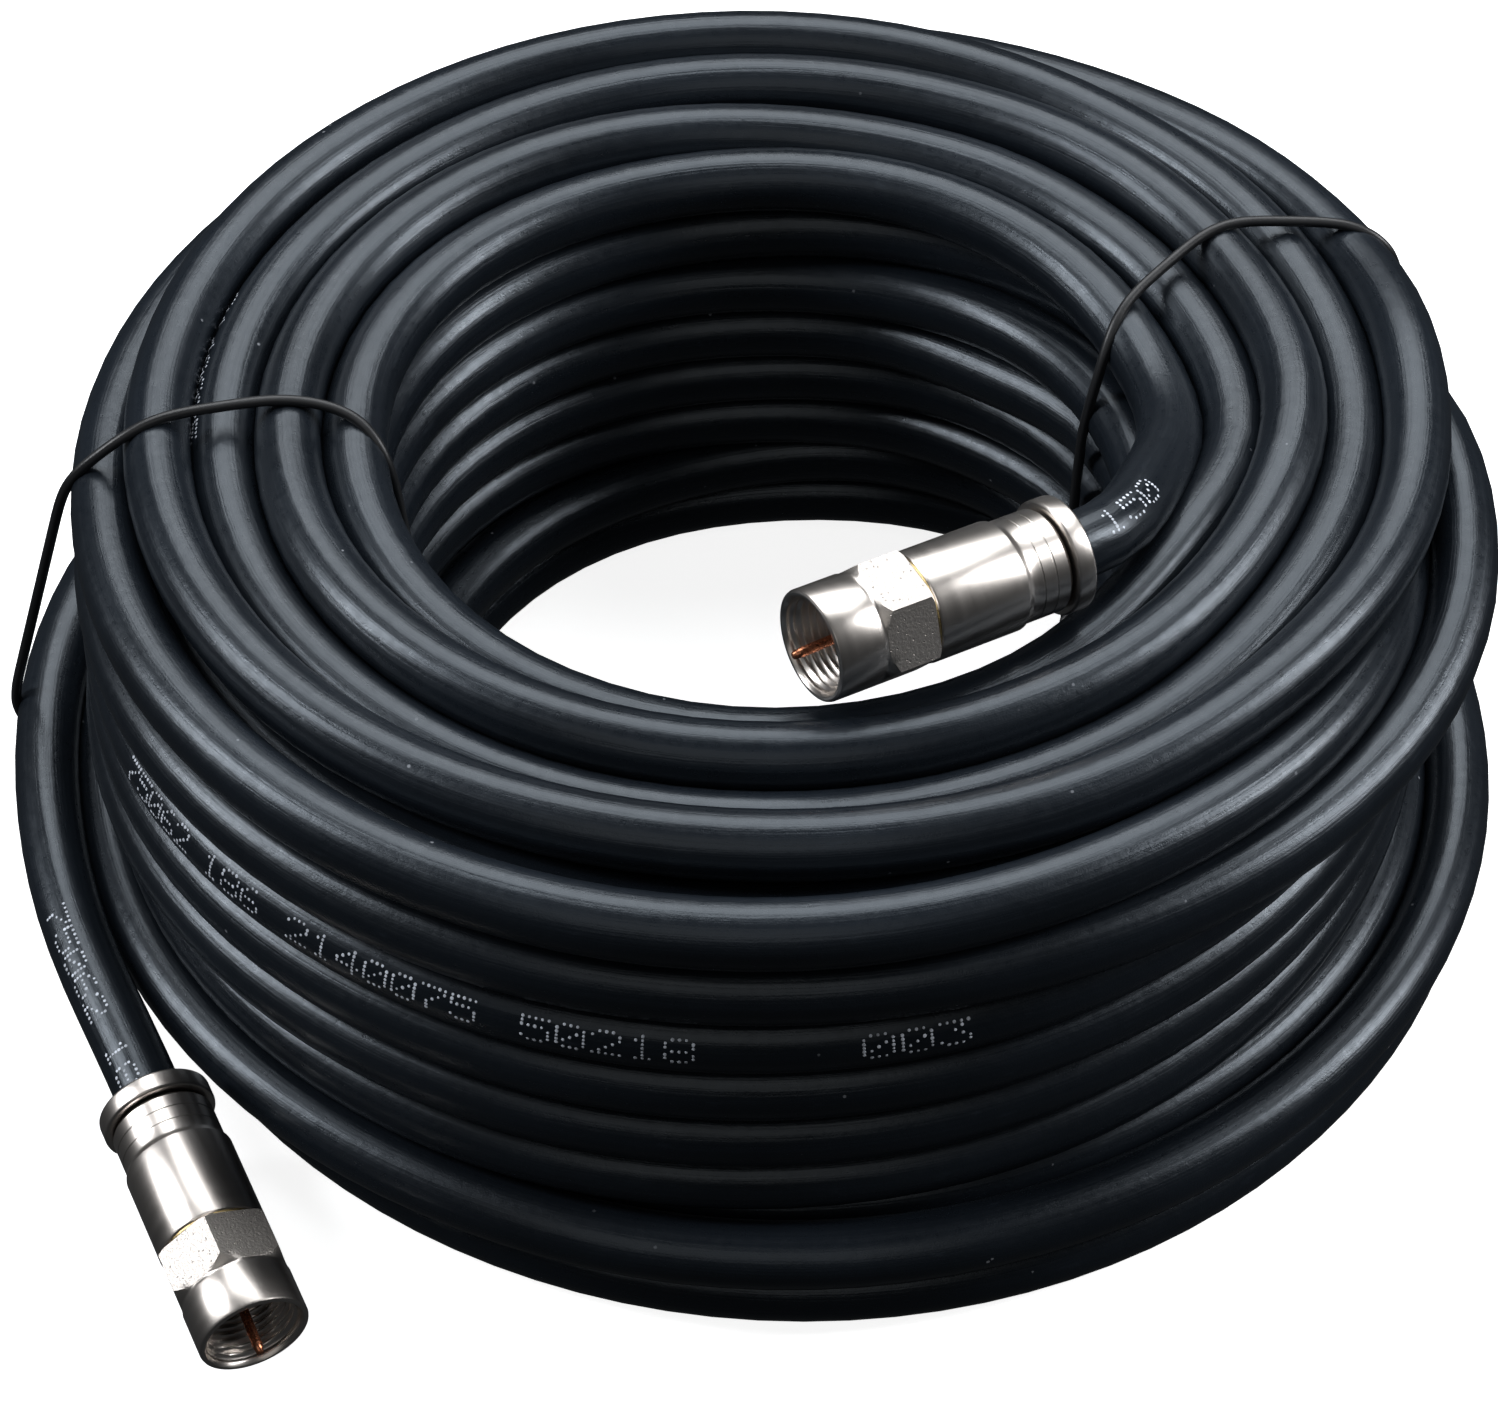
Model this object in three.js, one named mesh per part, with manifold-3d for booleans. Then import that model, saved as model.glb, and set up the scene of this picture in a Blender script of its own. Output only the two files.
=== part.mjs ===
// A 15 m length of black coaxial cable wound into a round coil, tied with two coated
// wires, with a screw-on coaxial connector on each end. Millimetres, +Z up.
import * as THREE from 'three';
import { mergeVertices } from 'three/addons/utils/BufferGeometryUtils.js';
import Module from 'manifold-3d';

const wasm = await Module();
wasm.setup();

// Driving dimensions of the cable and its winding
const cableDiameter = 6.9;
const innerTurnRadius = 43.2;
const layers = 5;
const layerPitch = 6.0;
const rows = 8;
const rowPitch = 7.0;
const settle = 0.3;
const innerTurnDrop = 1.5;
const loweredRows = 2;
const loweredInnerRadius = 45.2;
const loweredLayerPitch = 6.45;
const loweredShift = 5.5;
const fit = 0.3;

// Driving dimensions of the connectors, measured from the rear face along the axis
const ringLength = 2.1;
const ringRadius = 5.9;
const sleeveLength = 5.2;
const sleeveRadius = 5.3;
const bodyLength = 10.2;
const bodyRadius = 5.65;
const nutAcrossFlats = 11.1;
const nutTurn = 30;
const hexLength = 5.8;
const hexChamfer = 0.6;
const skirtLength = 5.4;
const skirtRadius = 5.7;
const threadRadius = 4.7;
const nutLip = 0.8;
const postRadius = 3.2;
const postWall = 0.6;
const postFlange = 1.1;
const pinDiameter = 1.02;
const pinReach = 2.0;
const cableInsert = 6;

// Driving dimensions of the ties
const tieDiameter = 1.15;
const tieTwistLength = 9;

// Resolution of the round shapes
const coilSegments = 40;
const turnStep = 50;
const cableSides = 10;
const connectorSegments = 24;
const tieSides = 8;

const cableRadius = cableDiameter / 2;
const tieRadius = tieDiameter / 2;
const firstRow = cableRadius - settle;
const rowHeight = (row) => firstRow + row * rowPitch;
const innerTurnHeight = rowHeight(rows - 1) - innerTurnDrop;
const coilTop = rowHeight(rows - 1) + cableRadius;
const outerTurnRadius = innerTurnRadius + (layers - 1) * layerPitch;
const loweredOuterRadius = loweredInnerRadius + (layers - 1) * loweredLayerPitch;
const innerWall = innerTurnRadius - cableRadius;
const outerWall = outerTurnRadius + cableRadius;

// Directions round a turn's section in degrees, and half the arc that shows between neighbours
const up = 90;
const inward = 180;
const down = 270;
const outward = 360;
const shown = 50;
const shownBelow = 60;

// Points of one turn's round side, from one angle to another, in degrees
function turnArc(radius, height, from, to) {
  const count = Math.max(1, Math.round((to - from) / turnStep));
  return Array.from({ length: count + 1 }, (_, i) => {
    const angle = THREE.MathUtils.degToRad(from + ((to - from) * i) / count);
    return new THREE.Vector2(radius + cableRadius * Math.cos(angle), height + cableRadius * Math.sin(angle));
  });
}

// A turn of the lowest row, with the narrow flat that it rests on
function restingArc(radius, from, to) {
  const half = THREE.MathUtils.radToDeg(Math.acos(firstRow / cableRadius));
  const before = turnArc(radius, firstRow, from, down - half);
  const after = turnArc(radius, firstRow, down + half, to);
  return [...before, ...after];
}

// The scalloped outline is turned about the coil's axis
function turned(profile, segments) {
  const closed = [...profile, profile[0].clone()];
  return new THREE.LatheGeometry(closed, segments).rotateX(Math.PI / 2);
}

function toSolid(geometry) {
  const bare = geometry.clone();
  bare.deleteAttribute('normal');
  bare.deleteAttribute('uv');
  const merged = mergeVertices(bare, 1e-4);
  const mesh = new wasm.Mesh({
    numProp: 3,
    vertProperties: new Float32Array(merged.attributes.position.array),
    triVerts: new Uint32Array(merged.index.array),
  });
  return new wasm.Manifold(mesh);
}

function toGeometry(solid) {
  const mesh = solid.getMesh();
  const indexed = new THREE.BufferGeometry();
  indexed.setAttribute('position', new THREE.BufferAttribute(new Float32Array(mesh.vertProperties), 3));
  indexed.setIndex(new THREE.BufferAttribute(new Uint32Array(mesh.triVerts), 1));
  const geometry = indexed.toNonIndexed();
  geometry.computeVertexNormals();
  return geometry;
}

function largestBody(solid) {
  const bodies = solid.decompose();
  return bodies.reduce((best, body) => (body.volume() > best.volume() ? body : best));
}

function roundSweep(points, radius, sides, steps) {
  const section = new THREE.Shape(
    Array.from({ length: sides }, (_, i) => {
      const angle = (2 * Math.PI * i) / sides;
      return new THREE.Vector2(radius * Math.cos(angle), radius * Math.sin(angle));
    }),
  );
  const path = new THREE.CatmullRomCurve3(points, false, 'centripetal');
  return new THREE.ExtrudeGeometry(section, { steps, extrudePath: path });
}

// A point given by its azimuth in degrees, radius and height
function polar(azimuth, radius, height) {
  const angle = THREE.MathUtils.degToRad(azimuth);
  return new THREE.Vector3(radius * Math.cos(angle), radius * Math.sin(angle), height);
}

// The upper rows, which lie squarely on each other
function upperRows() {
  const profile = [];
  const lowest = rowHeight(loweredRows);
  profile.push(...turnArc(innerTurnRadius, lowest, inward, down));
  profile.push(...turnArc(outerTurnRadius, lowest, down, outward + shown));
  for (let row = loweredRows + 1; row < rows - 1; row += 1) {
    profile.push(...turnArc(outerTurnRadius, rowHeight(row), -shown, shown));
  }
  profile.push(...turnArc(outerTurnRadius, rowHeight(rows - 1), -shown, up + shown));
  for (let layer = layers - 2; layer > 0; layer -= 1) {
    const radius = innerTurnRadius + layer * layerPitch;
    profile.push(...turnArc(radius, rowHeight(rows - 1), up - shown, up + shown));
  }
  profile.push(...turnArc(innerTurnRadius, innerTurnHeight, up - shown, inward + shown));
  for (let row = rows - 2; row > loweredRows; row -= 1) {
    profile.push(...turnArc(innerTurnRadius, rowHeight(row), inward - shown, inward + shown));
  }
  return turned(profile, coilSegments);
}

// The lowest rows, which have spread and slipped to one side
function lowerRows() {
  const highest = rowHeight(loweredRows - 1);
  const profile = [...restingArc(loweredInnerRadius, inward - shown, down + shownBelow)];
  for (let layer = 1; layer < layers - 1; layer += 1) {
    const radius = loweredInnerRadius + layer * loweredLayerPitch;
    profile.push(...restingArc(radius, down - shownBelow, down + shownBelow));
  }
  profile.push(...restingArc(loweredOuterRadius, down - shownBelow, outward + shown));
  for (let row = 1; row < loweredRows - 1; row += 1) {
    profile.push(...turnArc(loweredOuterRadius, rowHeight(row), -shown, shown));
  }
  const buried = highest + cableDiameter;
  profile.push(...turnArc(loweredOuterRadius, highest, -shown, up));
  profile.push(new THREE.Vector2(loweredOuterRadius - cableDiameter, buried));
  profile.push(new THREE.Vector2(loweredInnerRadius + cableDiameter, buried));
  profile.push(...turnArc(loweredInnerRadius, highest, up, inward + shown));
  for (let row = loweredRows - 2; row > 0; row -= 1) {
    profile.push(...turnArc(loweredInnerRadius, rowHeight(row), inward - shown, inward + shown));
  }
  return turned(profile, coilSegments).translate(loweredShift, 0, 0);
}

// Lengths along a connector's axis
const bodyStart = ringLength + fit;
const bodyEnd = bodyStart + sleeveLength + bodyLength;
const nutStart = bodyEnd + fit;
const nutEnd = nutStart + hexLength + skirtLength;
const flangeStart = nutStart + nutLip + fit;
const flangeEnd = flangeStart + postFlange;
const postBore = postRadius - postWall;

function lathe(points) {
  const profile = points.map(([radius, along]) => new THREE.Vector2(radius, along));
  return new THREE.LatheGeometry([...profile, profile[0].clone()], connectorSegments);
}

function compressionRing() {
  const bore = cableRadius + fit;
  const bevel = 0.3;
  return lathe([
    [bore, 0],
    [ringRadius - bevel, 0],
    [ringRadius, bevel],
    [ringRadius, ringLength - bevel],
    [ringRadius - bevel, ringLength],
    [bore, ringLength],
  ]);
}

function connectorBody() {
  const bore = cableRadius + fit;
  const postHole = postRadius + fit;
  const shoulder = bodyStart + cableInsert;
  const sleeveEnd = bodyStart + sleeveLength;
  const rim = 0.9;
  return lathe([
    [bore, bodyStart],
    [bodyRadius, bodyStart],
    [bodyRadius, bodyStart + 2 * rim],
    [sleeveRadius, bodyStart + 2 * rim + fit],
    [sleeveRadius, sleeveEnd - fit],
    [bodyRadius, sleeveEnd],
    [bodyRadius, bodyEnd],
    [postHole, bodyEnd],
    [postHole, shoulder],
    [bore, shoulder],
  ]);
}

function couplingNut() {
  const cornerRadius = nutAcrossFlats / Math.sqrt(3);
  const hexEnd = nutStart + hexLength;
  const prism = new THREE.CylinderGeometry(cornerRadius, cornerRadius, hexLength, 6);
  prism.rotateY(THREE.MathUtils.degToRad(nutTurn)).translate(0, nutStart + hexLength / 2, 0);
  const turnedBlank = lathe([
    [0, nutStart],
    [cornerRadius - hexChamfer / 2, nutStart],
    [cornerRadius, nutStart + hexChamfer / 2],
    [cornerRadius, hexEnd - hexChamfer],
    [cornerRadius - 2 * hexChamfer, hexEnd],
    [0, hexEnd],
  ]);
  const skirt = lathe([
    [0, nutStart + nutLip],
    [skirtRadius - hexChamfer, nutStart + nutLip],
    [skirtRadius, nutStart + nutLip + hexChamfer],
    [skirtRadius, nutEnd - fit],
    [skirtRadius - fit, nutEnd],
    [0, nutEnd],
  ]);
  const passage = lathe([
    [0, nutStart - 1],
    [postRadius + fit, nutStart - 1],
    [postRadius + fit, nutStart + nutLip],
    [threadRadius, nutStart + nutLip],
    [threadRadius, nutEnd + 1],
    [0, nutEnd + 1],
  ]);
  const blank = toSolid(prism).intersect(toSolid(turnedBlank)).add(toSolid(skirt));
  return toGeometry(blank.subtract(toSolid(passage)));
}

function centrePost() {
  const flangeRadius = threadRadius - fit;
  return lathe([
    [postBore, bodyStart + cableInsert + fit],
    [postRadius, bodyStart + cableInsert + fit],
    [postRadius, flangeStart],
    [flangeRadius, flangeStart],
    [flangeRadius, flangeEnd],
    [postBore, flangeEnd],
  ]);
}

function dielectric() {
  const bore = pinDiameter / 2 + fit;
  return lathe([
    [bore, bodyStart + cableInsert + fit],
    [postBore - fit, bodyStart + cableInsert + fit],
    [postBore - fit, flangeEnd],
    [bore, flangeEnd],
  ]);
}

function centrePin() {
  const radius = pinDiameter / 2;
  const tip = nutEnd + pinReach;
  return new THREE.LatheGeometry(
    [
      new THREE.Vector2(0, bodyStart + cableInsert + 2 * fit),
      new THREE.Vector2(radius, bodyStart + cableInsert + 2 * fit),
      new THREE.Vector2(radius, tip - radius),
      new THREE.Vector2(0, tip),
    ],
    12,
  );
}

// Where each connector lies: the centre of its rear ring and of the nut's open end
const leftTailHeight = rowHeight(1);
const leftRing = polar(221.9, loweredOuterRadius + 10.3, leftTailHeight - 0.85);
const leftMouth = polar(238.7, loweredOuterRadius + 22.6, leftTailHeight - 3.25);
const rightRing = polar(-39.5, innerTurnRadius - 5.5, coilTop + 3.6);
const rightMouth = polar(-82.5, innerTurnRadius - 4.2, coilTop + 5.6);

const axisOf = (ring, mouth) => mouth.clone().sub(ring).normalize();
const rearFace = (ring, mouth) => mouth.clone().addScaledVector(axisOf(ring, mouth), -nutEnd);

// The end of a tail, straight along the connector's axis into its rear ring
function tailEnd(ring, mouth) {
  const rear = rearFace(ring, mouth);
  const axis = axisOf(ring, mouth);
  const inside = bodyStart + cableInsert - fit;
  return [-cableDiameter, 0, inside].map((along) => rear.clone().addScaledVector(axis, along));
}

// The left tail leaves the spread lower turns at the rear and comes round the left side
function leftTailRoute() {
  const onLowerTurn = (azimuth) => polar(azimuth, loweredOuterRadius, leftTailHeight)
    .add(new THREE.Vector3(loweredShift, 0, 0));
  const beside = (azimuth, out, lift) => polar(azimuth, loweredOuterRadius + out, leftTailHeight + lift);
  return [
    onLowerTurn(112),
    onLowerTurn(121),
    beside(132, 1.4, 0.35),
    beside(144, 3.6, 1.05),
    beside(157, 5.4, 2.05),
    beside(170, 6.2, 2.45),
    beside(182, 6.3, 2.25),
    beside(193, 6.3, 1.65),
    beside(204, 6.9, 0.85),
    ...tailEnd(leftRing, leftMouth),
  ];
}

// The right tail is the end of the top inner turn, which lifts and turns into the bore
function rightTailRoute() {
  const above = (azimuth, out, lift) => polar(azimuth, innerTurnRadius + out, innerTurnHeight + lift);
  return [
    above(19, 0, 0),
    above(12, 0, 0),
    above(4, 0, 1.15),
    above(-4, -0.8, 2.55),
    above(-13, -2.6, 4.75),
    ...tailEnd(rightRing, rightMouth),
  ];
}

// The start of a route, lengthened so that a cut along it leaves a gap at its end too
function lengthened(route) {
  const back = route[0].clone().sub(route[1]).normalize().multiplyScalar(fit);
  return [route[0].clone().add(back), ...route];
}

// A tie's loop: up the bore, over the top, down the outside and back under the coil
const tieGap = tieRadius + fit;
const underTie = tieRadius + 0.45;

function leftTieRoute() {
  const inside = loweredInnerRadius - cableRadius - loweredShift - 0.6;
  const tailReach = loweredOuterRadius + 6.3 + cableRadius;
  const start = polar(181, inside - 2 * tieDiameter, 12);
  return [
    start.clone().add(new THREE.Vector3(tieTwistLength * 0.5, 1, 2)),
    start,
    polar(181, inside - 1.2 * tieDiameter, 22),
    polar(184, innerWall - tieGap, 40),
    polar(185, innerWall - tieGap, coilTop - 7),
    polar(182, innerWall + 1.2, coilTop + 0.2),
    polar(179.6, innerTurnRadius + layerPitch * 0.5, coilTop + tieGap),
    polar(181, innerTurnRadius + layerPitch * 2, coilTop + tieGap),
    polar(184, outerTurnRadius - layerPitch * 0.5, coilTop + tieGap),
    polar(185, outerWall - 0.6, coilTop - 1.6),
    polar(184, outerWall + 2.4, coilTop - 9),
    polar(181, outerWall + 6.6, coilTop - 24),
    polar(178, tailReach + 0.65, 23),
    polar(178, tailReach + 1.25, 12),
    polar(179, tailReach - 0.55, 5),
    polar(180, tailReach - 4.35, 1.9),
    polar(180.4, loweredOuterRadius - 1, underTie),
    polar(180.6, loweredInnerRadius + 9.8, underTie),
    polar(180.8, loweredInnerRadius - 4.2, underTie),
    polar(181, inside - tieGap, 2.4),
    polar(181.5, inside - tieGap - 0.3, 8),
    polar(183.4, inside - 2 * tieDiameter, 11),
    polar(184.5, inside - 2 * tieDiameter - tieTwistLength * 0.5, 13),
  ];
}

function rightTieRoute() {
  const outside = loweredShift + loweredOuterRadius + cableRadius - 0.9;
  const start = polar(25.4, outside + tieGap + 0.5, 17.5);
  return [
    polar(25.4, outside + tieGap + tieTwistLength * 0.7, 24),
    start,
    polar(25.2, outside + tieGap, 9),
    polar(25.2, outside - 0.6, 3.0),
    polar(25.2, outside - 5, underTie),
    polar(25, loweredOuterRadius - 7, underTie),
    polar(24, loweredInnerRadius + 6.8, underTie),
    polar(22, innerWall + loweredShift - 2.5, 1.9),
    polar(20, innerWall + 0.5, 5.5),
    polar(17, innerWall - tieGap - 1, 18),
    polar(16.5, innerWall - tieGap - 2, 34),
    polar(17, innerWall - tieGap - 2.2, coilTop - 7),
    polar(20, innerWall - 0.6, coilTop - 0.8),
    polar(26, innerTurnRadius + 1.6, coilTop + tieGap - 0.6),
    polar(28.6, innerTurnRadius + layerPitch, coilTop + tieGap),
    polar(29, innerTurnRadius + layerPitch * 2.4, coilTop + tieGap),
    polar(27.6, outerTurnRadius - layerPitch * 0.5, coilTop + tieGap),
    polar(25.4, outerWall - 0.6, coilTop - 1.6),
    polar(24.6, outerWall + tieGap, coilTop - 9),
    polar(24.4, outerWall + tieGap + 1, 34),
    polar(24, outside + tieGap - 2, 22),
    polar(23.4, outside + tieGap + 1.2, 19),
    polar(23.2, outside + tieGap + tieTwistLength * 0.7, 23.4),
  ];
}

// Finishes
const jacket = { color: 0x17191d, roughness: 0.42, metalness: 0 };
const nickel = { color: 0xc9c7c2, roughness: 0.22, metalness: 1 };
const copper = { color: 0xb5633a, roughness: 0.3, metalness: 1 };
const foam = { color: 0xece9e0, roughness: 0.6, metalness: 0 };
const coated = { color: 0x101113, roughness: 0.5, metalness: 0 };

const assembly = new THREE.Group();

function piece(parent, name, geometry, finish) {
  const mesh = new THREE.Mesh(geometry, new THREE.MeshStandardMaterial(finish));
  mesh.name = name;
  parent.add(mesh);
}

const routes = { left: leftTailRoute(), right: rightTailRoute() };
const tailSteps = { left: 44, right: 26 };
const ties = { left: leftTieRoute(), right: rightTieRoute() };
const tieSteps = 84;

// The wound turns, with room cut for the tails that leave them and the ties under them
let coil = toSolid(upperRows()).add(toSolid(lowerRows()));
for (const side of ['left', 'right']) {
  const tailRoom = roundSweep(lengthened(routes[side]), cableRadius + fit, cableSides, tailSteps[side]);
  const tieRoom = roundSweep(ties[side], tieRadius + fit, tieSides, tieSteps);
  coil = coil.subtract(toSolid(tailRoom)).subtract(toSolid(tieRoom));
}
piece(assembly, 'coil', toGeometry(largestBody(coil)), jacket);

for (const side of ['left', 'right']) {
  const tail = roundSweep(routes[side], cableRadius, cableSides, tailSteps[side]);
  piece(assembly, `cable_tail_${side}`, tail, jacket);
  piece(assembly, `tie_${side}`, roundSweep(ties[side], tieRadius, tieSides, tieSteps), coated);
}

for (const [side, ring, mouth] of [['left', leftRing, leftMouth], ['right', rightRing, rightMouth]]) {
  const connector = new THREE.Group();
  connector.position.copy(rearFace(ring, mouth));
  connector.quaternion.setFromUnitVectors(new THREE.Vector3(0, 1, 0), axisOf(ring, mouth));
  piece(connector, `compression_ring_${side}`, compressionRing(), nickel);
  piece(connector, `connector_body_${side}`, connectorBody(), nickel);
  piece(connector, `coupling_nut_${side}`, couplingNut(), nickel);
  piece(connector, `centre_post_${side}`, centrePost(), nickel);
  piece(connector, `dielectric_${side}`, dielectric(), foam);
  piece(connector, `centre_pin_${side}`, centrePin(), copper);
  assembly.add(connector);
}

// The origin is the middle of the whole part on the surface that it lies on
assembly.updateMatrixWorld(true);
const extent = new THREE.Box3().setFromObject(assembly, true);
const middle = extent.getCenter(new THREE.Vector3());
assembly.position.set(-middle.x, -middle.y, 0);

export default assembly;
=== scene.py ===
"""A coil of black coaxial cable with a screw-on connector on each end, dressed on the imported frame."""

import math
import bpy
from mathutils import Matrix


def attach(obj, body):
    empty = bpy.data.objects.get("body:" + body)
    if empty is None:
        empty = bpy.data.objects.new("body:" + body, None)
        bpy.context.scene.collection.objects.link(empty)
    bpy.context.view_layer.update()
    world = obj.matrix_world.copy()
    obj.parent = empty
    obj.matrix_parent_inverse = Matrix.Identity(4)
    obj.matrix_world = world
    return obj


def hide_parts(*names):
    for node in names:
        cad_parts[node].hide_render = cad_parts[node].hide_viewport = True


bl_info = {
    "name": "Coaxial cable coil",
    "version": (1, 0, 0),
    "blender": (4, 5, 0),
    "location": "3D View > Sidebar > Cable coil",
    "description": "Winds, ties and ends a coil of coaxial cable, with its studio",
    "category": "Add Mesh",
}

import bmesh
import bpy
import numpy as np
from mathutils import Matrix, Vector

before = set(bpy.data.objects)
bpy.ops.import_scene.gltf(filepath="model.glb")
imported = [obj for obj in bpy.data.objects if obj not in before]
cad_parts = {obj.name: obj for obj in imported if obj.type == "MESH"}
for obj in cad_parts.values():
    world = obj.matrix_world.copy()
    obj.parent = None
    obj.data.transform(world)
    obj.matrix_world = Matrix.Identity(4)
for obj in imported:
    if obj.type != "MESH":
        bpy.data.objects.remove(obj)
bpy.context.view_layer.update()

MM = 0.001

# The coil's axis in the row frame, and each connector's rear face and axis
COIL_AXIS = (0.001368, 0.003917, 0.0)
CONNECTORS = {
    "left": ((-0.059521, -0.049565, 0.009376), (0.418489, -0.904282, -0.084504)),
    "right": ((0.031387, -0.019494, 0.059123), (-0.850823, -0.520646, 0.070903)),
}

# The tails' routes about the coil's axis: azimuth in degrees, radius and height in millimetres
LEFT_TAIL = (
    (107.8, 69.1, 10.15), (116.8, 68.7, 10.15), (132, 72.4, 10.5), (144, 74.6, 11.2), (157, 76.4, 12.2),
    (170, 77.2, 12.6), (182, 77.3, 12.4), (193, 77.3, 11.8), (204, 77.9, 11.0),
)
RIGHT_TAIL = ((19, 43.2, 50.65), (12, 43.2, 50.65), (4, 43.2, 51.8), (-4, 42.4, 53.2), (-13, 40.6, 55.4))
INSIDE_CONNECTOR = 8.1

# Lengths along a connector from its rear face, and the radius that the turns keep clear of
CONNECTOR_LENGTH = 29.3
CONNECTOR_CLEARANCE = 6.2
POST_START = 8.6

# The top turns wind outwards in one spiral: azimuth through all its turns, radius and height
SPIRAL = (
    (19, 43.2, 50.8), (90, 43.2, 51), (180, 42.7, 52), (225, 42.3, 50.5), (270, 41.5, 47.5), (315, 43.5, 47.5),
    (360, 48.9, 49), (405, 49.5, 50.5), (450, 49.6, 52), (540, 48.7, 52), (585, 46.5, 53), (630, 44.9, 53.5),
    (675, 49.5, 53.3), (720, 54.5, 53), (765, 57, 53), (810, 58.4, 53.2), (855, 56.5, 53), (900, 54.5, 52),
    (945, 52.5, 50.5), (990, 50.7, 49.8), (1080, 60.7, 50.5), (1170, 66, 52.9), (1260, 61.6, 52),
    (1350, 56.5, 53.5), (1440, 67.3, 52.9), (1530, 67.6, 47.5), (1620, 66.9, 48), (1710, 67.3, 52),
    (1800, 67.9, 46),
)
SPIRAL_TURNS = 5
ROWS = 8
LAYERS = 5
INNER_RADIUS = 43.2
LAYER_PITCH = 6.0
LOWERED_ROWS = 2
LOWERED_INNER_RADIUS = 45.2
LOWERED_LAYER_PITCH = 6.6
LOWERED_SHIFT = 5.5
ROW_PITCH = 6.95

# Heights and radii that change round the coil, at the right, rear, left and front
OUTER_TOP_HEIGHT = (52.9, 47.5, 48.0, 52.0)
INNER_TOP_HEIGHT = (51.0, 51.0, 52.0, 49.0)
LOOSE_RADIUS = (76.3, 75.0, 71.0, 71.2)
LOOSE_HEIGHT = (9.5, 6.0, 8.5, 10.3)
LOWEST_RADIUS = (74.0, 69.5, 68.0, 70.2)

TIE_AZIMUTHS = {"left": 181.0, "right": 25.0}

# Each tie's azimuth below the top turns, and above them the radii and azimuths that it passes
TIE_BELOW = {"left": 180.5, "right": 24.0}
TIE_ABOVE = {
    "left": ((36, 38, 40, 46, 54, 61, 66, 72, 84), (188, 186.4, 181.3, 179.3, 181.1, 182.4, 184.8, 184, 180)),
    "right": ((36, 37, 42, 49, 57, 64, 69, 71, 80), (17, 17.7, 25, 28.3, 29.2, 28.5, 25.9, 23.3, 22)),
}
TIE_ENDS_HEIGHT = {"left": 12, "right": 9}


class CableSettings(bpy.types.PropertyGroup):
    diameter: bpy.props.FloatProperty(
        name="Diameter", description="Outer diameter of the jacket", default=0.0069, unit="LENGTH", precision=4
    )
    settle_steps: bpy.props.IntProperty(
        name="Settle steps", description="Rounds in which the turns settle against each other", default=150, min=10
    )
    ring_spacing: bpy.props.FloatProperty(
        name="Ring spacing", description="Length of cable between two rings of the mesh", default=0.0044,
        unit="LENGTH", precision=4,
    )
    sides: bpy.props.IntProperty(name="Sides", description="Points round the jacket", default=24, min=8)
    wander: bpy.props.FloatProperty(
        name="Wander", description="How far a turn strays from an even winding", default=0.0004, unit="LENGTH",
        precision=4,
    )
    colour: bpy.props.FloatVectorProperty(
        name="Jacket", description="Colour of the jacket", subtype="COLOR", size=3, default=(0.0050, 0.0068, 0.0095)
    )
    dust_colour: bpy.props.FloatVectorProperty(
        name="Dust", description="Colour of the dust on the jacket", subtype="COLOR", size=3,
        default=(0.42, 0.44, 0.48),
    )


class PrintSettings(bpy.types.PropertyGroup):
    height: bpy.props.FloatProperty(
        name="Height", description="Height of a figure", default=0.0024, unit="LENGTH", precision=4
    )
    dot: bpy.props.FloatProperty(
        name="Dot", description="Radius of a printed dot", default=0.00018, unit="LENGTH", precision=5
    )
    colour: bpy.props.FloatVectorProperty(
        name="Ink", description="Colour of the printed dots", subtype="COLOR", size=3, default=(0.72, 0.77, 0.86)
    )


class ConnectorSettings(bpy.types.PropertyGroup):
    columns: bpy.props.IntProperty(name="Columns", description="Points round a turned piece", default=96, min=24)
    across_flats: bpy.props.FloatProperty(
        name="Across flats", description="Width of the nut across its flats", default=0.0111, unit="LENGTH",
        precision=4,
    )
    thread_pitch: bpy.props.FloatProperty(
        name="Thread pitch", description="Distance between two threads in the nut", default=0.000794,
        unit="LENGTH", precision=6,
    )
    thread_depth: bpy.props.FloatProperty(
        name="Thread depth", description="Depth of the thread in the nut", default=0.00042, unit="LENGTH",
        precision=5,
    )
    metal: bpy.props.FloatVectorProperty(
        name="Plating", description="Colour of the plating", subtype="COLOR", size=3, default=(0.62, 0.575, 0.535)
    )
    copper: bpy.props.FloatVectorProperty(
        name="Conductor", description="Colour of the centre conductor", subtype="COLOR", size=3,
        default=(0.72, 0.28, 0.15),
    )
    brass: bpy.props.FloatVectorProperty(
        name="Washer", description="Colour of the washer behind the nut", subtype="COLOR", size=3,
        default=(0.55, 0.42, 0.2),
    )
    foam: bpy.props.FloatVectorProperty(
        name="Foam", description="Colour of the dielectric", subtype="COLOR", size=3, default=(0.78, 0.76, 0.7)
    )


class TieSettings(bpy.types.PropertyGroup):
    diameter: bpy.props.FloatProperty(
        name="Diameter", description="Outer diameter of the coated wire", default=0.00115, unit="LENGTH",
        precision=5,
    )
    sides: bpy.props.IntProperty(name="Sides", description="Points round the coated wire", default=14, min=6)
    colour: bpy.props.FloatVectorProperty(
        name="Coating", description="Colour of the wire's coating", subtype="COLOR", size=3,
        default=(0.008, 0.0085, 0.0095),
    )


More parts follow.
